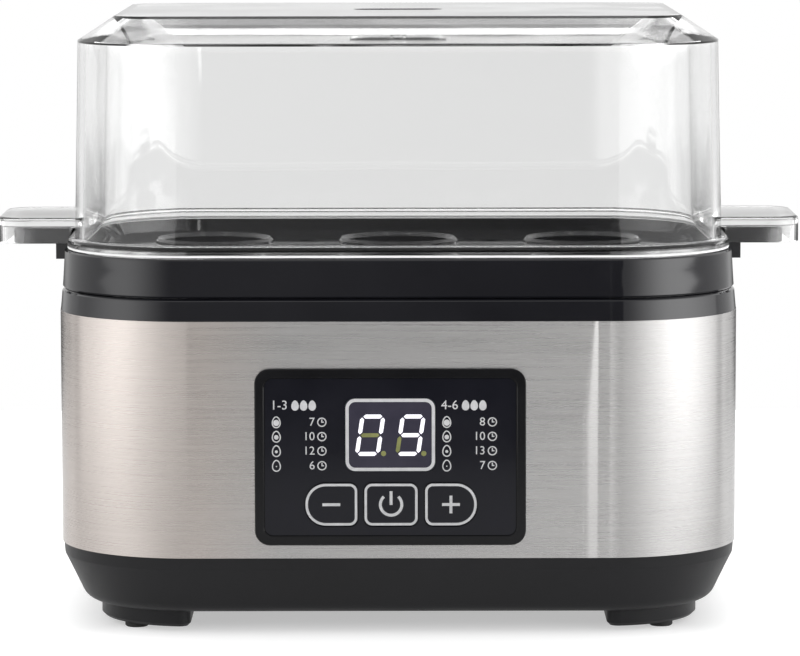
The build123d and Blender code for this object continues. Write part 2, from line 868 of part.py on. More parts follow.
def make_ear():
    """One grip of the lid, on the right: a flat ear with a lip that hangs round the tray's handle."""
    root = corner_x + foot_wall_reach - lid_wall / 2
    tip = corner_x + ear_reach
    plan = Pos((root + tip) / 2, 0) * Rectangle(tip - root, 2 * ear_half_depth)
    plan = fillet(plan.vertices().group_by(Axis.X)[-1], handle_corner_round + ear_wall)
    ear = extrude(Pos(0, 0, ear_lip_z) * plan, ear_top - ear_lip_z)
    top_edges = ear.edges().group_by(Axis.Z)[-1].filter_by_position(Axis.X, root + root_margin, tip)
    ear = fillet(top_edges, ear_edge_round)
    pocket_tip = tip - ear_wall
    pocket = Pos((root + pocket_tip) / 2, 0) * Rectangle(pocket_tip - root, 2 * (ear_half_depth - ear_wall))
    pocket = fillet(pocket.vertices().group_by(Axis.X)[-1], handle_corner_round)
    ear -= extrude(Pos(0, 0, ear_lip_z) * pocket, ear_under - ear_lip_z)
    over_skirt = corner_x + skirt_reach - root
    beside = Pos(root + over_skirt / 2, 0) * Rectangle(over_skirt, 3 * ear_half_depth)
    return ear - extrude(Pos(0, 0, ear_lip_z) * beside, ear_under - ear_lip_z)


def make_lid():
    skirt = section(
        [
            (skirt_reach - lid_wall, lid_z),
            (skirt_reach, lid_z),
            (skirt_reach, skirt_top - skirt_fall),
            (foot_wall_reach - skirt_lap, skirt_top),
            (foot_wall_reach - lid_wall, skirt_top),
            (foot_wall_reach - lid_wall, skirt_top - skirt_web_high),
            (skirt_reach - lid_wall, skirt_top - skirt_web_low),
        ],
        [((skirt_reach, skirt_top - skirt_fall), skirt_round)],
    )
    ear = make_ear()
    bell = lid_form(0, skirt_top, shoulder_z, top_z)
    vent_z = top_z - vent_recess
    vent = SlotOverall(vent_width, vent_depth_y)
    pad = SlotOverall(vent_width + 2 * vent_floor, vent_depth_y + 2 * vent_floor)
    hollow = lid_form(lid_wall, skirt_top, shoulder_z - lid_wall / 3, top_z - lid_wall)
    hollow -= extrude(Pos(0, 0, vent_z - vent_floor) * pad, top_z - vent_z)
    lid = bell + ear + mirror(ear, Plane.YZ) - hollow + band(skirt)
    lid -= extrude(Pos(0, 0, vent_z) * vent, vent_recess)
    return lid - post(0, 0, vent_hole_radius, vent_z - vent_floor, vent_z)


pieces = {
    "lower_housing": make_lower_housing(),
    "base_cover": make_base_cover(),
    "foot_pads": make_foot_pads(),
    "cover_screws": [screw(x, y, well_z, cover_screw_length) for x, y in four(pad_x, pad_y)],
    "tie_screws": [screw(x, y, lug_z, tie_screw_length) for x, y in four(tie_x, tie_y)],
    "clamp_screws": [screw(0, y, clamp_top - clamp_bar_thick, clamp_screw_length) for y in (-clamp_y, clamp_y)],
    "steel_band": make_steel_band(),
    "seam_strip": make_seam_strip(),
    "upper_ring": make_upper_ring(),
    "plate_seal": make_plate_seal(),
    "heating_plate": make_heating_plate(),
    "heating_element": make_heating_element(),
    "clamp_bar": make_clamp_bar(),
    "thermostat": make_thermostat(),
    "thermal_fuse": make_thermal_fuse(),
    "fuse_clip": make_fuse_clip(),
    "control_bezel": make_control_bezel(),
    "control_fascia": make_control_fascia(),
    "display_lens": make_display_lens(),
    "display_module": make_display_module(),
    "control_board": make_control_board(),
    "board_screws": make_board_screws(),
    "tact_switches": make_tact_switches(),
    "buzzer": make_buzzer(),
    "power_board": make_power_board(),
    "relay": make_relay(),
    "transformer": make_transformer(),
    "capacitor": make_capacitor(),
    "terminal_block": make_terminal_block(),
    "cord_gland": make_cord_gland(),
    "egg_tray": make_egg_tray(),
    "lid": make_lid(),
}
for button_name, button_x, button_width, button_end in buttons():
    pieces[button_name] = make_button(button_x, button_width, button_end)

for name, piece in pieces.items():
    shape = Compound(piece) if isinstance(piece, list) else piece
    export_step(shape, f"parts/{name}.step")
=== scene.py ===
from math import pi, radians, tan

import bmesh
import bpy
import numpy as np
from mathutils import Matrix


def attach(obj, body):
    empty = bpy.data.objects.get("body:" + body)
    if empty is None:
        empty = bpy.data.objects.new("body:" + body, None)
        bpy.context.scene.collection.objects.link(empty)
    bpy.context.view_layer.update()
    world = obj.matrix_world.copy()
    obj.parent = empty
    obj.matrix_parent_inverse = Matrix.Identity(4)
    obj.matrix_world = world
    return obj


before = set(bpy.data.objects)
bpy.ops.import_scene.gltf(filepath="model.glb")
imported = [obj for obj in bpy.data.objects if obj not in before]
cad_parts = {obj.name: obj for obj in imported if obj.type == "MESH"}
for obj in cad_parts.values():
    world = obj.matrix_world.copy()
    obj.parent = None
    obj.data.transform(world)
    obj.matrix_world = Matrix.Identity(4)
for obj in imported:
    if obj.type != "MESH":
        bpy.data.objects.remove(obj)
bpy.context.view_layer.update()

# Camera: a long lens a little above the egg cooker, square to its control panel and about 1.4 m away.
# The body shows without much perspective, and the lid's flat top is just open to view.
camera_place = (0.0005, -1.376, 0.2413)
camera_dip = radians(6.4)
camera_roll = radians(-0.1)
lens_data = bpy.data.cameras.new("camera")
lens_data.lens = 195.3
lens_data.sensor_width = 36.0
lens_data.clip_start = 0.05
camera = bpy.data.objects.new("camera", lens_data)
camera.matrix_world = (
    Matrix.Translation(camera_place)
    @ Matrix.Rotation(pi / 2 - camera_dip, 4, "X")
    @ Matrix.Rotation(camera_roll, 4, "Z")
)
bpy.context.scene.collection.objects.link(camera)
bpy.context.scene.camera = camera
bpy.context.scene.view_settings.view_transform = "Standard"

# Table: a white board that keeps the cooker's soft shadow. A glow, which shows to the camera, in gloss and
# through the clear lid, fades it into the white surroundings. The glow is weaker under the cooker, which is
# a painted shadow added to the real one, and grows to its full strength a little outside the feet.
table_half = 0.46
table_cells = 8
table_white = (0.63, 0.63, 0.63, 1.0)
glow_and_painted_shadow_levels = (0.46, 0.62)
painted_shadow_edge = (0.085, 0.045, 0.0)
painted_shadow_fade = 0.025


def start_nodes(owner):
    """Empties the node tree of a material or a world and makes it the one that add works on."""
    global tree
    owner.use_nodes = True
    tree = owner.node_tree
    tree.nodes.clear()


def add(kind, inputs=(), **settings):
    """Adds a node with its settings, and joins each input to a socket or sets it to a value."""
    node = tree.nodes.new(kind)
    for key, value in settings.items():
        setattr(node, key, value)
    for key, value in dict(inputs).items():
        if isinstance(value, bpy.types.NodeSocket):
            tree.links.new(value, node.inputs[key])
        else:
            node.inputs[key].default_value = value
    return node


def calc(operation, first, second=0.0):
    """One sum on two sockets or numbers."""
    return add("ShaderNodeMath", {0: first, 1: second}, operation=operation).outputs[0]


def product(first, *others):
    """Sockets or numbers multiplied together."""
    for other in others:
        first = calc("MULTIPLY", first, other)
    return first


def change(source, low, high, start=0.0, end=1.0, course="LINEAR"):
    """A change from start to end while the source goes from low to high, even unless its course differs."""
    ends = {"Value": source, "From Min": low, "From Max": high, "To Min": start, "To Max": end}
    return add("ShaderNodeMapRange", ends, interpolation_type=course).outputs["Result"]


def mesh_piece(name, points, faces):
    """A piece made of points and faces, with its place in its mesh and its faces turned outwards."""
    mesh = bpy.data.meshes.new(name)
    mesh.from_pydata(points.tolist(), [], faces)
    turned = bmesh.new()
    turned.from_mesh(mesh)
    bmesh.ops.recalc_face_normals(turned, faces=turned.faces)
    turned.to_mesh(mesh)
    turned.free()
    piece = bpy.data.objects.new(name, mesh)
    bpy.context.scene.collection.objects.link(piece)
    return piece


table_row = table_cells + 1
table_steps = np.linspace(-table_half, table_half, table_row)
table_x, table_y = np.meshgrid(table_steps, table_steps, indexing="ij")
table_points = np.stack([table_x.ravel(), table_y.ravel(), np.zeros(table_x.size)], axis=1)
corner = (np.arange(table_cells)[:, None] * table_row + np.arange(table_cells)).ravel()
table_faces = np.stack([corner, corner + table_row, corner + table_row + 1, corner + 1], axis=1).tolist()
table = mesh_piece("table", table_points, table_faces)
table_finish = bpy.data.materials.new("table_board")
start_nodes(table_finish)
ray = add("ShaderNodeLightPath").outputs
seen = calc("MAXIMUM", ray["Is Camera Ray"], ray["Is Transmission Ray"])
seen = calc("MAXIMUM", seen, ray["Is Glossy Ray"])
spot = add("ShaderNodeTexCoord").outputs["Object"]
spot = add("ShaderNodeVectorMath", {0: spot}, operation="ABSOLUTE").outputs[0]
spot = add("ShaderNodeVectorMath", {0: spot, 1: painted_shadow_edge}, operation="SUBTRACT").outputs[0]
outside_x, outside_y, _ = add("ShaderNodeSeparateXYZ", {0: spot}).outputs
outside = calc("MAXIMUM", outside_x, outside_y)
# Painted shadow: the glow drops to its lower level under the cooker, so the board is darker there.
glow = add("ShaderNodeEmission", {"Strength": product(seen, change(outside, 0.0, painted_shadow_fade, *glow_and_painted_shadow_levels))})
board = add("ShaderNodeBsdfDiffuse", {"Color": table_white})
both = add("ShaderNodeAddShader", {0: board.outputs[0], 1: glow.outputs[0]})
add("ShaderNodeOutputMaterial", {"Surface": both.outputs[0]})
table.data.materials.append(table_finish)

# Studio: a tall soft light at each side, the right one stronger, a dark gap ahead where the camera is with
# a narrow strip light in it, a bright panel in the roof and a dark card behind, and pale walls elsewhere.
# Turns are in degrees from straight ahead, heights are sines, and the camera looks out on plain white.
middle_turns = (-3, 3)
gap_turns = (13.3, 14.2)
gap_heights = ((-0.19, -0.14), (0.20, 0.27))
gap_levels = (0.28, 0.12)
wall_levels = (0.6, 0.9)
left_box = ((14, 61), 2.2, (63, 110), 0.28)
right_box = ((14, 60), 3.9, (65, 122), 0.17)
right_rim = 0.55
rear_box_turns = ((119, 128), (135, 165))
rear_box_levels = (1.2, 2.2)
post_turns = ((112, 116), (121, 124))
post_shade = 0.55
low_row = ((-0.26, -0.17), (-0.088, -0.062))
low_level = 0.9
high_row = ((-0.018, -0.010), (0.20, 0.27))
low_glow_turns = ((1, 10), (105, 125))
low_glow_levels = (1.75, 1.0)
rear_turns = (140, 165)
rear_level = 0.86
shade_turns = (118, 134)
shade_heights = (-0.10, -0.06)
card_turns = (176.4, 178.2)
card_heights = ((0.084, 0.091), (0.17, 0.22))
card_level = 0.1
strip_turns = ((4.9, 5.3), (7.0, 7.4))
strip_heights = ((-0.100, -0.092), (0.2, 0.3))
strip_level = 5.5
roof_heights = (0.34, 0.47)
roof_turns = (25, 50)
roof_levels = (0.8, 1.2)
zenith_heights = (0.85, 0.95)
zenith_level = 1.0
roof_panel_turns = (135, 150)
roof_panel_heights = ((0.76, 0.80), (0.90, 0.94))
roof_panel_level = 4.5
ground_heights = (-0.6, -0.5)
ground_level = 0.75
plain_white = (1.0, 1.0, 1.0, 1.0)
studio = bpy.data.worlds.new("studio")
bpy.context.scene.world = studio
start_nodes(studio)


def step(source, low, high, start=0.0, end=1.0):
    """A change from start to end that begins and ends softly, while the source goes from low to high."""
    return change(source, low, high, start, end, "SMOOTHSTEP")


def between(source, rise, fall):
    """1 between a smooth rise and a smooth fall, and 0 outside them."""
    return product(step(source, *rise), step(source, *fall, 1.0, 0.0))


def blend_levels(share, low, high):
    """low where the share is 0 and high where it is 1."""
    return calc("ADD", product(low, calc("SUBTRACT", 1.0, share)), product(high, share))


def soft_light(rise, level, fall, rest):
    """A light that grows over the turns of its rise, then fades over those of its fall to a share."""
    return product(step(turn, *rise, 0.0, level), step(turn, *fall, 1.0, rest))


way = add("ShaderNodeTexCoord").outputs["Generated"]
across, depth, height = add("ShaderNodeSeparateXYZ", {0: way}).outputs
signed_turn = product(calc("ARCTAN2", across, product(depth, -1.0)), 180 / pi)
turn = calc("ABSOLUTE", signed_turn)
on_right = step(signed_turn, *middle_turns)
past_gap = step(turn, *gap_turns)
in_low_row = between(height, *low_row)

left_rear, right_rear = [product(between(turn, *rear_box_turns), level) for level in rear_box_levels]
left_light = calc("ADD", soft_light(*left_box), left_rear)
right_light = calc("ADD", soft_light(*right_box), right_rear)
right_light = calc("ADD", right_light, product(past_gap, right_rim))
boxes = blend_levels(on_right, left_light, right_light)
boxes = product(boxes, calc("SUBTRACT", 1.0, product(between(turn, *post_turns), post_shade)))
boxes = calc("ADD", boxes, blend_levels(on_right, *gap_levels))
box_rows = calc("ADD", product(in_low_row, low_level), between(height, *high_row))
box_share = blend_levels(past_gap, between(height, *gap_heights), box_rows)
light = blend_levels(box_share, blend_levels(past_gap, *wall_levels), boxes)
light = blend_levels(step(turn, *rear_turns), light, rear_level)
low_glow = product(between(turn, *low_glow_turns), in_low_row, blend_levels(on_right, *low_glow_levels))
light = calc("ADD", light, low_glow)
shade = product(step(turn, *shade_turns), step(height, *shade_heights, 1.0, 0.0))
light = product(light, calc("SUBTRACT", 1.0, shade))

card = product(step(turn, *card_turns), between(height, *card_heights))
light = blend_levels(card, light, card_level)
strip = product(between(signed_turn, *strip_turns), between(height, *strip_heights), strip_level)
light = calc("ADD", light, strip)
roof = blend_levels(step(height, *zenith_heights), step(turn, *roof_turns, *roof_levels), zenith_level)
light = blend_levels(step(height, *roof_heights), light, roof)
roof_panel = product(step(turn, *roof_panel_turns), between(height, *roof_panel_heights), roof_panel_level)
light = calc("ADD", light, roof_panel)
light = blend_levels(step(height, *ground_heights, 1.0, 0.0), light, ground_level)

ray = add("ShaderNodeLightPath").outputs
looked_at = calc("MAXIMUM", ray["Is Camera Ray"], ray["Is Transmission Ray"])
bounces = calc("ADD", ray["Diffuse Depth"], ray["Glossy Depth"])
looked_at = product(looked_at, calc("LESS_THAN", bounces, 1.0))
strength = blend_levels(looked_at, light, 1.0)
surround = add("ShaderNodeBackground", {"Strength": strength, "Color": plain_white})
add("ShaderNodeOutputWorld", {"Surface": surround.outputs[0]})

# Lower housing: the dark grey moulded pan under the steel, in a fine-textured plastic. Its skirt tapers
# in to the toe, and its lugs and shelf carry the upper ring's pillars and the base cover.
drift_range = (0.3, 0.7)


def blend_colours(share, low, high):
    """The colour low where the share is 0 and the colour high where it is 1."""
    made = add("ShaderNodeMix", {"Factor": share, "A": low, "B": high}, data_type="RGBA")
    return made.outputs["Result"]


def texture_finish(name, colours, roughness, patch, grain, depth, shine=0.5, **sockets):
    """A moulded, cast or coated surface. Broad noise drifts between two colours and two roughnesses, and
    fine noise raises a grain. Patch and grain are the sizes of those features, and depth is the grain's
    height, all in metres; shine is the shader's specular level."""
    made = bpy.data.materials.new(name)
    start_nodes(made)
    place = add("ShaderNodeTexCoord").outputs["Object"]
    broad = {"Vector": place, "Scale": 1 / patch, "Detail": 4.0, "Roughness": 0.6}
    broad = add("ShaderNodeTexNoise", broad).outputs[0]
    fine = {"Vector": place, "Scale": 1 / grain, "Detail": 3.0, "Roughness": 0.7}
    fine = add("ShaderNodeTexNoise", fine).outputs[0]
    bump = add("ShaderNodeBump", {"Height": fine, "Strength": 1.0, "Distance": depth})
    low, high = [(*colour, 1.0) for colour in colours]
    inputs = {
        "Base Color": blend_colours(change(broad, *drift_range), low, high),
        "Roughness": change(broad, *drift_range, *roughness),
        "Normal": bump.outputs[0],
        "Specular IOR Level": shine,
        **sockets,
    }
    shader = add("ShaderNodeBsdfPrincipled", inputs)
    add("ShaderNodeOutputMaterial", {"Surface": shader.outputs[0]})
    return made


def dress(finish, *names):
    """Gives CAD nodes their finish."""
    for name in names:
        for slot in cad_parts[name].material_slots:
            slot.material = finish


housing_finish = texture_finish(
    "housing_plastic", ((0.0075, 0.0075, 0.0085), (0.0115, 0.0115, 0.0128)), (0.42, 0.55),
    patch=0.02, grain=0.0006, depth=0.00004, shine=0.21,
)
dress(housing_finish, "lower_housing", "base_cover")

# Foot pads: soft rubber plugs that close the screw wells of the feet.
# The cord gland is the same rubber, moulded round the cord's way in at the rear.
rubber_finish = texture_finish(
    "pad_rubber", ((0.012, 0.012, 0.012), (0.022, 0.022, 0.021)), (0.7, 0.85),
    patch=0.008, grain=0.0004, depth=0.00003,
)
dress(rubber_finish, "foot_pads", "cord_gland")

# Screws, clamp bar and fuse clip: zinc-plated steel, which holds the base together from the inside and
# from below, where nothing shows it on the table.
zinc_finish = texture_finish(
    "zinc", ((0.42, 0.43, 0.46), (0.58, 0.58, 0.56)), (0.25, 0.45),
    patch=0.004, grain=0.0005, depth=0.00001, Metallic=1.0,
)
dress(zinc_finish, "cover_screws", "tie_screws", "clamp_screws", "board_screws", "clamp_bar", "fuse_clip")

# Power board and its parts: green laminate with a relay, a transformer, a capacitor and, on the cover,
# a white terminal block for the mains wires.
board_finish = texture_finish(
    "board_green", ((0.012, 0.12, 0.045), (0.02, 0.19, 0.07)), (0.25, 0.4),
    patch=0.01, grain=0.0008, depth=0.00001,
)
component_finish = texture_finish(
    "component_black", ((0.018, 0.018, 0.018), (0.035, 0.035, 0.036)), (0.4, 0.6),
    patch=0.006, grain=0.0004, depth=0.00001,
)
relay_finish = texture_finish(
    "relay_blue", ((0.02, 0.09, 0.32), (0.03, 0.13, 0.42)), (0.2, 0.3),
    patch=0.01, grain=0.002, depth=0.00001,
)
terminal_finish = texture_finish(
    "terminal_white", ((0.68, 0.67, 0.63), (0.78, 0.77, 0.73)), (0.4, 0.5),
    patch=0.01, grain=0.0006, depth=0.00001,
)
dress(board_finish, "power_board", "control_board")
dress(component_finish, "transformer", "capacitor", "tact_switches", "buzzer", "thermostat")
dress(component_finish, "display_module")
dress(relay_finish, "relay")
dress(terminal_finish, "terminal_block")

# Heating plate: a pressed aluminium dish with a satin non-stick coat, which boils a little water.
# Its tubular element and the fuse below it are heat-dulled nickel steel, and silicone seals its rim.
dish_finish = texture_finish(
    "dish_metal", ((0.4, 0.4, 0.41), (0.52, 0.52, 0.53)), (0.3, 0.42),
    patch=0.02, grain=0.0007, depth=0.00002, Metallic=1.0,
)
heater_finish = texture_finish(
    "heater_metal", ((0.22, 0.2, 0.18), (0.36, 0.33, 0.31)), (0.35, 0.55),
    patch=0.006, grain=0.0005, depth=0.00002, Metallic=1.0,
)
silicone_finish = texture_finish(
    "silicone", ((0.66, 0.65, 0.62), (0.74, 0.73, 0.7)), (0.45, 0.6),
    patch=0.01, grain=0.0008, depth=0.00002,
)
dress(dish_finish, "heating_plate")
dress(heater_finish, "heating_element", "thermal_fuse")
dress(silicone_finish, "plate_seal")

# Steel band: stainless sheet, brushed along its length and wrapped round the base, where a strip behind
# it closes the seam at the rear. Brush lines run level, so the light spreads up and down across them,
# and the steel is a little warmer towards its left end.
steel_colours = ((0.36, 0.353, 0.349, 1.0), (0.42, 0.413, 0.409, 1.0))
steel_roughness = (0.24, 0.32)
steel_edge = (0.75, 0.75, 0.75, 1.0)
warm_from = (-0.035, -0.06)
warm_tone = (1.12, 1.04, 0.99, 1.0)
brush_long = (22.0, 22.0, 3200.0)
brush_fine = (60.0, 60.0, 9000.0)
blotch_size = (9.0, 9.0, 60.0)
long_detail = 5.0
fine_detail = 3.0
fine_share = 0.6
blotch_share = 0.5
brush_range = (0.75, 1.35)
brush_depth = 0.000012
steel_finish = bpy.data.materials.new("brushed_steel")
start_nodes(steel_finish)
place = add("ShaderNodeTexCoord").outputs["Object"]
spot_x, spot_y, spot_z = add("ShaderNodeSeparateXYZ", {0: place}).outputs


def stretched_noise(stretch, detail):
    """Noise drawn out along the brush lines: the three numbers are its scales along x, y and z."""
    drawn = add("ShaderNodeMapping", {"Vector": place, "Scale": stretch}).outputs[0]
    return add("ShaderNodeTexNoise", {"Vector": drawn, "Scale": 1.0, "Detail": detail}).outputs[0]


fine_lines = product(stretched_noise(brush_fine, fine_detail), fine_share)
blotches = product(stretched_noise(blotch_size, fine_detail), blotch_share)
brushed = calc("ADD", calc("ADD", stretched_noise(brush_long, long_detail), fine_lines), blotches)
tint = blend_colours(change(brushed, *brush_range), *steel_colours)
tone = blend_colours(change(spot_x, *warm_from), plain_white, warm_tone)
tint = add("ShaderNodeVectorMath", {0: tint, 1: tone}, operation="MULTIPLY").outputs[0]

# Crease in the steel: a soft fold, such as bending rolls leave, runs down the front near its right end.
# The sheet faces a little to the right there, over a strip that widens downwards.
crease_x = 0.0605
crease_top = 0.0972
crease_length = 0.03
crease_widths = (0.0036, 0.0012)
crease_rise = (-1.3, -0.7)
crease_fall = (-0.1, 0.05)
crease_front = (-0.0735, -0.073)
crease_lean = 0.32
crease_width = change(spot_z, crease_top - crease_length, crease_top, *crease_widths)
crease_place = calc("DIVIDE", calc("SUBTRACT", spot_x, crease_x), crease_width)
crease = product(
    change(crease_place, *crease_rise),
    change(crease_place, *crease_fall, 1.0, 0.0),
    change(spot_y, *crease_front, 1.0, 0.0),
)
lean = add("ShaderNodeCombineXYZ", {"X": product(crease, crease_lean)}).outputs[0]
facing = add("ShaderNodeNewGeometry").outputs["Normal"]
facing = add("ShaderNodeVectorMath", {0: facing, 1: lean}, operation="ADD").outputs[0]
facing = add("ShaderNodeVectorMath", {0: facing}, operation="NORMALIZE").outputs[0]
bump = add("ShaderNodeBump", {"Height": brushed, "Normal": facing, "Strength": 0.6, "Distance": brush_depth})
along = add("ShaderNodeTangent", direction_type="RADIAL", axis="Z")
steel_inputs = {
    "Base Color": tint,
    "Roughness": change(brushed, *brush_range, *steel_roughness),
    "Normal": bump.outputs[0],
    "Tangent": along.outputs[0],
    "Metallic": 1.0,
    "Anisotropic": 0.9,
    "Anisotropic Rotation": 0.25,
    "Specular Tint": steel_edge,
}
shader = add("ShaderNodeBsdfPrincipled", steel_inputs)
add("ShaderNodeOutputMaterial", {"Surface": shader.outputs[0]})
dress(steel_finish, "steel_band", "seam_strip")

# Upper ring: the polished black moulding that closes the steel at the top and holds the water dish.
# The egg tray above it is the same plastic, with faint flow marks and a very slight ripple.
gloss_finish = texture_finish(
    "gloss_black", ((0.0055, 0.0055, 0.0075), (0.0085, 0.0085, 0.011)), (0.035, 0.07),
    patch=0.03, grain=0.006, depth=0.000002, IOR=1.5,
)
dress(gloss_finish, "upper_ring", "egg_tray")

# Control panel frame and face: a satin black frame round a black film with a blue cast.
# The display's window is a smoky plastic set in the film.
panel_shine = 0.17
panel_finish = texture_finish(
    "panel_black", ((0.002, 0.002, 0.0028), (0.004, 0.004, 0.005)), (0.14, 0.2),
    patch=0.02, grain=0.0005, depth=0.00001, shine=panel_shine,
)
film_finish = texture_finish(
    "fascia_black", ((0.005, 0.0052, 0.0088), (0.007, 0.0072, 0.0118)), (0.1, 0.16),
    patch=0.02, grain=0.001, depth=0.000005, shine=panel_shine,
)
window_finish = texture_finish(
    "display_tint", ((0.031, 0.0285, 0.045), (0.041, 0.038, 0.058)), (0.1, 0.18),
    patch=0.012, grain=0.002, depth=0.000004, shine=panel_shine,
)
dress(panel_finish, "control_bezel")
dress(film_finish, "control_fascia", "minus_button", "power_button", "plus_button")
dress(window_finish, "display_lens")

# Panel print: light grey ink in thin raised strokes, screen-printed on the face round the display.
# Places on the panel are in millimetres from its middle, to the right and upwards.
millimetre = 0.001
panel_middle = (-0.0025, 0.05595)
face_y = -0.0743
printed = (-0.02, 0.05)
window_place = (0.0, 6.8)
window_size = (27.1, 22.1)
window_round = 3.0
window_stroke = 1.0
ink_finish = texture_finish(
    "panel_ink", ((0.50, 0.50, 0.51), (0.60, 0.60, 0.61)), (0.4, 0.5),
    patch=0.002, grain=0.0003, depth=0.000003,
)


def on_face(points, out):
    """Panel points in mm become points in the shared frame, out mm in front of the panel's face."""
    points = np.asarray(points, float) * millimetre
    depths = face_y - np.broadcast_to(out, len(points)) * millimetre
    return np.stack([panel_middle[0] + points[:, 0], depths, panel_middle[1] + points[:, 1]], axis=1)


def stroke(path, width, closed=True, out=printed):
    """A ribbon of even width along a path. Each point goes half the width to either side, along the mean
    of its two runs' normals divided by the cosine of half the turn; out is where its back and front lie."""
    path = np.asarray(path, float)
    run = np.roll(path, -1, axis=0) - path
    if not closed:
        run[-1] = run[-2]
    run /= np.linalg.norm(run, axis=1, keepdims=True)
    before = np.roll(run, 1, axis=0)
    if not closed:
        before[0] = run[0]
    square = np.stack([-run[:, 1], run[:, 0]], axis=1)
    mean = square + np.stack([-before[:, 1], before[:, 0]], axis=1)
    mean /= np.linalg.norm(mean, axis=1, keepdims=True)
    offset = mean * (width / 2) / (mean * square).sum(axis=1, keepdims=True)
    back, front = out
    rims = [(path + offset, back), (path + offset, front), (path - offset, front), (path - offset, back)]
    points = np.stack([on_face(*rim) for rim in rims], axis=1).reshape(-1, 3)
    count = len(path)
    start = np.arange(count if closed else count - 1)
    here = start[:, None] * len(rims)
    there = ((start + 1) % count)[:, None] * len(rims)
    side = np.arange(len(rims))
    following = (side + 1) % len(rims)
    quads = np.stack([here + side, there + side, there + following, here + following], axis=2)
    quads = quads.reshape(-1, 4).tolist()
    if not closed:
        quads += [side.tolist(), (side + (count - 1) * len(rims)).tolist()]
    return points, quads


def plate(outline, out=printed):
    """A flat plate: the outline at its back and at its front, joined by a wall."""
    back, front = out
    points = np.concatenate([on_face(outline, back), on_face(outline, front)])
    count = len(outline)
    here = np.arange(count)
    there = (here + 1) % count
    walls = np.stack([here, there, there + count, here + count], axis=1).tolist()
    return points, walls + [here[::-1].tolist(), (here + count).tolist()]


def rounded_frame(x, y, width, height, rounds, steps=12):
    """A rounded rectangle as a closed path; rounds are its radii at the right top, left top, left bottom and
    right bottom, and each corner is a quarter turn about its own centre."""
    path = []
    for index, (across, up) in enumerate(((1, 1), (-1, 1), (-1, -1), (1, -1))):
        radius = rounds[index]
        turn = np.linspace(0, pi / 2, steps) + index * pi / 2
        middle = np.array([x + across * (width / 2 - radius), y + up * (height / 2 - radius)])
        path.append(middle + radius * np.stack([np.cos(turn), np.sin(turn)], axis=1))
    return np.concatenate(path)


def arc(x, y, radius, start, end, steps=40):
    """Part of a circle, from one angle to another, counted in degrees from the right."""
    turn = np.radians(np.linspace(start, end, steps))
    return np.stack([x + radius * np.cos(turn), y + radius * np.sin(turn)], axis=1)


def finish_piece(name, shapes, finish, body):
    """Joins shapes into one new piece, with each shape's faces counted on from the last, and gives the
    piece its finish and its body."""
    points = []
    faces = []
    count = 0
    for shape_points, shape_faces in shapes:
        points.append(shape_points)
        faces += [[index + count for index in face] for face in shape_faces]
        count += len(shape_points)
    piece = mesh_piece(name, np.concatenate(points), faces)
    piece.data.materials.append(finish)
    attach(piece, body)


frame_path = rounded_frame(
    *window_place, window_size[0] - window_stroke, window_size[1] - window_stroke,
    4 * [window_round - window_stroke / 2],
)
finish_piece("window_outline", [stroke(frame_path, window_stroke)], ink_finish, "base")

# Digits: two seven-segment figures, lit white, with the unlit segments and the two points in dull olive.
# They lie on the window's face and stand for the display that shows through it. Each segment is a flat
# bar with pointed ends, and the figures lean to the right.
figure_places = (-6.1, 6.1)
figure_middle = 6.7
figure_width = 6.3
figure_half = 5.7
figure_lean = tan(radians(8.5))
figure_out = (-0.02, 0.03)
segment_width = 1.22
segment_gap = 0.3
point_place = (4.9, -5.6)
point_radius = 0.8
point_arc = (0, 345, 24)
lit_segments = ("abcdef", "abcdfg")
lit_base = (0.3, 0.3, 0.32, 1.0)
lit_colour = (0.94, 0.91, 1.0, 1.0)
lit_strength = 1.1
lit_finish = bpy.data.materials.new("lit_segment")
start_nodes(lit_finish)
lit_inputs = {"Base Color": lit_base, "Emission Color": lit_colour, "Emission Strength": lit_strength}
shader = add("ShaderNodeBsdfPrincipled", lit_inputs)
add("ShaderNodeOutputMaterial", {"Surface": shader.outputs[0]})
olive_finish = texture_finish(
    "unlit_segment", ((0.17, 0.18, 0.05), (0.24, 0.25, 0.08)), (0.4, 0.5),
    patch=0.003, grain=0.0005, depth=0.000002,
)


def segment(name, middle):
    """One segment's outline: a bar between two corners of the figure, with each end cut to a point, and
    leant over by moving every point sideways in proportion to its height."""
    level = {"a": figure_half, "g": 0.0, "d": -figure_half}
    if name in level:
        ends = np.array([[-figure_width / 2, level[name]], [figure_width / 2, level[name]]])
    else:
        across = figure_width / 2 if name in "bc" else -figure_width / 2
        up = figure_half if name in "bf" else -figure_half
        ends = np.array([[across, 0.0], [across, up]])
    along = (ends[1] - ends[0]) / np.linalg.norm(ends[1] - ends[0])
    side = np.array([-along[1], along[0]]) * segment_width / 2
    first = ends[0] + along * segment_gap
    last = ends[1] - along * segment_gap
    point = along * segment_width / 2
    outline = np.array([
        first, first + point + side, last - point + side,
        last, last - point - side, first + point - side,
    ])
    outline[:, 0] += outline[:, 1] * figure_lean
    return outline + middle


lit = []
unlit = []
for place_x, lit_names in zip(figure_places, lit_segments):
    middle = np.array([place_x, figure_middle])
    for name in "abcdefg":
        shapes = lit if name in lit_names else unlit
        shapes.append(plate(segment(name, middle), figure_out))
    point_x = place_x + point_place[0] - figure_half * figure_lean
    unlit.append(plate(arc(point_x, figure_middle + point_place[1], point_radius, *point_arc), figure_out))
finish_piece("lit_digits", lit, lit_finish, "base")
finish_piece("unlit_digits", unlit, olive_finish, "base")

# Keys: each has a printed outline and a plain sign, raised on the key's own face, so they move with it.
# The outer end of each outer key is almost a half circle.
key_y = -14.5
key_height = 13.3
key_places = {"minus": -17.9, "power": 0.2, "plus": 18.35}
key_widths = {"minus": 16.2, "power": 16.6, "plus": 16.1}
key_rounds = {"minus": (6.4, 2.6), "power": (2.6, 2.6), "plus": (2.6, 6.4)}
key_stroke = 0.76
key_margin = 0.25
key_out = (0.18, 0.25)
sign_stroke = 0.88
sign_half = 2.7
power_radius = 3.25
power_opening = (132, 408)
power_stem = (4.1, -0.1)


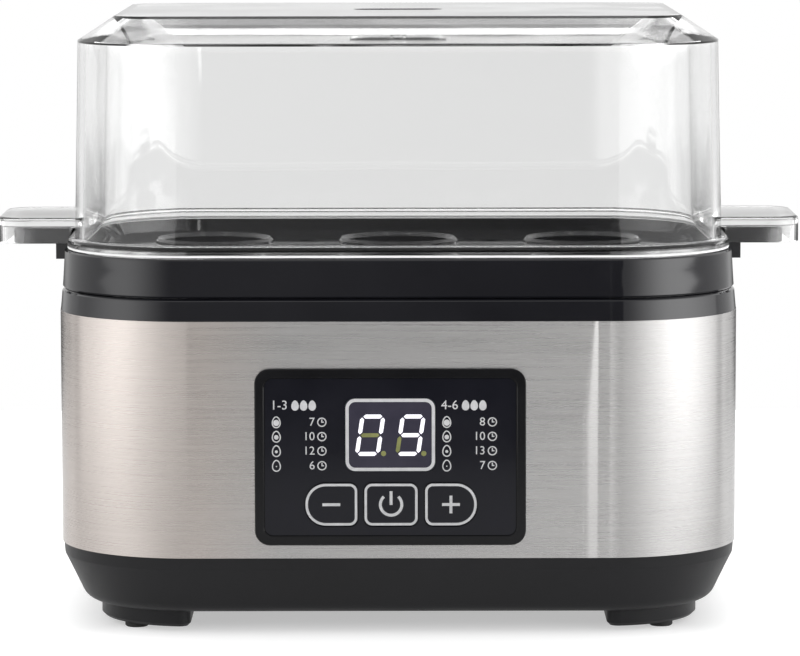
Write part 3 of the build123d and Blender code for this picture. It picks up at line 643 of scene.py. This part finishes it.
def key_sign(name, x, y):
    """The open paths of a key's sign: a bar, a bar crossed by the two halves of another, or an open ring
    with a stem in its opening."""
    bar = [(x - sign_half, y), (x + sign_half, y)]
    if name == "minus":
        return [bar]
    if name == "plus":
        lower = [(x, y - sign_half), (x, y - sign_stroke / 2)]
        upper = [(x, y + sign_stroke / 2), (x, y + sign_half)]
        return [bar, lower, upper]
    return [arc(x, y, power_radius, *power_opening), [(x, y + power_stem[0]), (x, y + power_stem[1])]]


for name, key_x in key_places.items():
    inset = key_margin + key_stroke / 2
    left, right = key_rounds[name]
    rounds = [right - inset, left - inset, left - inset, right - inset]
    ring = rounded_frame(key_x, key_y, key_widths[name] - 2 * inset, key_height - 2 * inset, rounds)
    shapes = [stroke(ring, key_stroke, True, key_out)]
    shapes += [stroke(path, sign_stroke, False, key_out) for path in key_sign(name, key_x, key_y)]
    finish_piece(name + "_print", shapes, ink_finish, name + "_key")

# Time guide: two printed lists of minutes beside the display, for few eggs and for many. Each row has a
# small egg whose yolk shows how firm it comes out, a plain number and a little clock.
guide_rows = (10.7, 6.3, 1.9, -2.6)
guide_lists = {-36.0: ("7", "10", "12", "6"), 15.6: ("8", "10", "13", "7")}
guide_heads = {-36.0: "1-3", 15.6: "4-6"}
head_row = 15.8
head_end = 5.0
head_size = 3.96
head_eggs = (7.2, 9.8, 12.4)
head_egg_height = 3.135
egg_place = 1.5
egg_height = 3.3
egg_width_share = 0.36
egg_taper = 0.16
yolk_sizes = (0.95, 0.7, 0.45, 0.2)
yolk_drop = 0.2
yolk_arc = (0, 345, 20)
fine_stroke = 0.34
number_end = 13.2
number_size = 3.6
number_steps = 4
clock_place = 15.3
clock_radius = 1.25
clock_arc = (0, 348, 30)
clock_hands = ((0.0, 0.85), (0.0, 0.0), (0.6, 0.0))


def egg_path(x, y, tall, steps=28):
    """An egg's outline: an ellipse whose width is taken down by a share of the sine of the turn, so that it
    is narrower towards its top and wider towards its bottom."""
    turn = np.linspace(0, 2 * pi, steps, endpoint=False)
    taper = 1 - egg_taper * np.sin(turn)
    return np.stack([x + egg_width_share * tall * np.cos(turn) * taper, y + tall / 2 * np.sin(turn)], axis=1)


def number_shape(text, x, y, size):
    """A printed number as flat letters, set from its right edge: the font's outline becomes a mesh, which is
    stood up on the panel's face."""
    back, front = printed
    data = bpy.data.curves.new("number", "FONT")
    data.body = text
    data.size = size
    data.align_x = "RIGHT"
    data.align_y = "CENTER"
    data.extrude = (front - back) / 2
    data.resolution_u = number_steps
    letters = bpy.data.objects.new("number", data)
    bpy.context.scene.collection.objects.link(letters)
    bpy.context.view_layer.update()
    mesh = bpy.data.meshes.new_from_object(letters.evaluated_get(bpy.context.evaluated_depsgraph_get()))
    points = np.zeros(3 * len(mesh.vertices))
    mesh.vertices.foreach_get("co", points)
    points = points.reshape(-1, 3)
    faces = [list(face.vertices) for face in mesh.polygons]
    bpy.data.objects.remove(letters)
    return on_face(points[:, :2] + (x, y), points[:, 2] + (front + back) / 2), faces


guide = []
for left, numbers in guide_lists.items():
    guide.append(number_shape(guide_heads[left], left + head_end, head_row, head_size))
    guide += [plate(egg_path(left + place_x, head_row, head_egg_height)) for place_x in head_eggs]
    for row, number, yolk in zip(guide_rows, numbers, yolk_sizes):
        guide.append(stroke(egg_path(left + egg_place, row, egg_height), fine_stroke))
        guide.append(plate(arc(left + egg_place, row - yolk_drop, yolk, *yolk_arc)))
        guide.append(number_shape(number, left + number_end, row, number_size))
        clock = (left + clock_place, row)
        guide.append(stroke(arc(*clock, clock_radius, *clock_arc), fine_stroke))
        guide.append(stroke(np.add(clock_hands, clock), fine_stroke, False))
finish_piece("time_guide", guide, ink_finish, "base")

# Lid: one moulding in hard clear plastic, with thick even walls, a skirt that sits on the egg tray, an ear
# over each of the tray's handles, a bevelled crown and a recessed steam vent. A white band round its foot
# is a painted highlight, a dark grey band along the front of the wall's bend into the crown is a painted
# dark reflection, and the crown is tinted clearer than the walls, which paints it lighter.
wall_clear = (0.917, 0.918, 0.917, 1.0)
# Painted light: the crown gets a clearer tint than the walls, so the top renders lighter.
crown_painted_lighter = (0.985, 0.985, 0.985, 1.0)
painted_crown_heights = (0.1775, 0.1795)
# Painted dark reflection: a grey band along the front of the wall's bend into the crown.
bend_painted_dark_reflection = (0.08, 0.08, 0.085, 1.0)
painted_bend_heights = ((0.1801, 0.1803), (0.1807, 0.1809))
painted_bend_front = (-0.068, -0.066)
painted_bend_ends = (0.062, 0.078)
# Painted highlight: a white band round the skirt's foot, where the edge catches the light.
foot_painted_highlight = (0.92, 0.92, 0.92, 1.0)
painted_foot_heights = (0.1168, 0.1170)
painted_foot_ends = (0.1030, 0.1034)
wave_scale = 18.0
wave_depth = 0.0003
haze_range = (0.0, 0.03)
clear_finish = bpy.data.materials.new("clear_plastic")
start_nodes(clear_finish)
place = add("ShaderNodeTexCoord").outputs["Object"]
spot_x, spot_y, spot_z = add("ShaderNodeSeparateXYZ", {0: place}).outputs
off_middle = calc("ABSOLUTE", spot_x)
wave = add("ShaderNodeTexNoise", {"Vector": place, "Scale": wave_scale, "Detail": 1.0}).outputs[0]
bump = add("ShaderNodeBump", {"Height": wave, "Strength": 0.5, "Distance": wave_depth})
# Where the painted dark reflection lies: a thin band at the bend, on the front only and short of the ends.
on_painted_bend = product(
    change(spot_z, *painted_bend_heights[0]),
    change(spot_z, *painted_bend_heights[1], 1.0, 0.0),
    change(spot_y, *painted_bend_front, 1.0, 0.0),
    change(off_middle, *painted_bend_ends, 1.0, 0.0),
)
# The walls' tint, with the crown's clearer tint blended in by height as painted light.
clear = blend_colours(change(spot_z, *painted_crown_heights), wall_clear, crown_painted_lighter)
lid_inputs = {
    "Base Color": blend_colours(on_painted_bend, clear, bend_painted_dark_reflection),
    "Normal": bump.outputs[0],
    "Roughness": change(wave, 0.0, 1.0, *haze_range),
    "IOR": 1.49,
    "Transmission Weight": 1.0,
}
shader = add("ShaderNodeBsdfPrincipled", lid_inputs)
# The painted highlight at the foot is a plain diffuse white, mixed in over a thin band at the bottom.
painted_foot_shader = add("ShaderNodeBsdfPrincipled", {"Base Color": foot_painted_highlight, "Roughness": 0.6})
on_painted_foot = product(change(spot_z, *painted_foot_heights, 1.0, 0.0), change(off_middle, *painted_foot_ends, 1.0, 0.0))
both = add("ShaderNodeMixShader", {0: on_painted_foot, 1: shader.outputs[0], 2: painted_foot_shader.outputs[0]})
add("ShaderNodeOutputMaterial", {"Surface": both.outputs[0]})
dress(clear_finish, "lid")
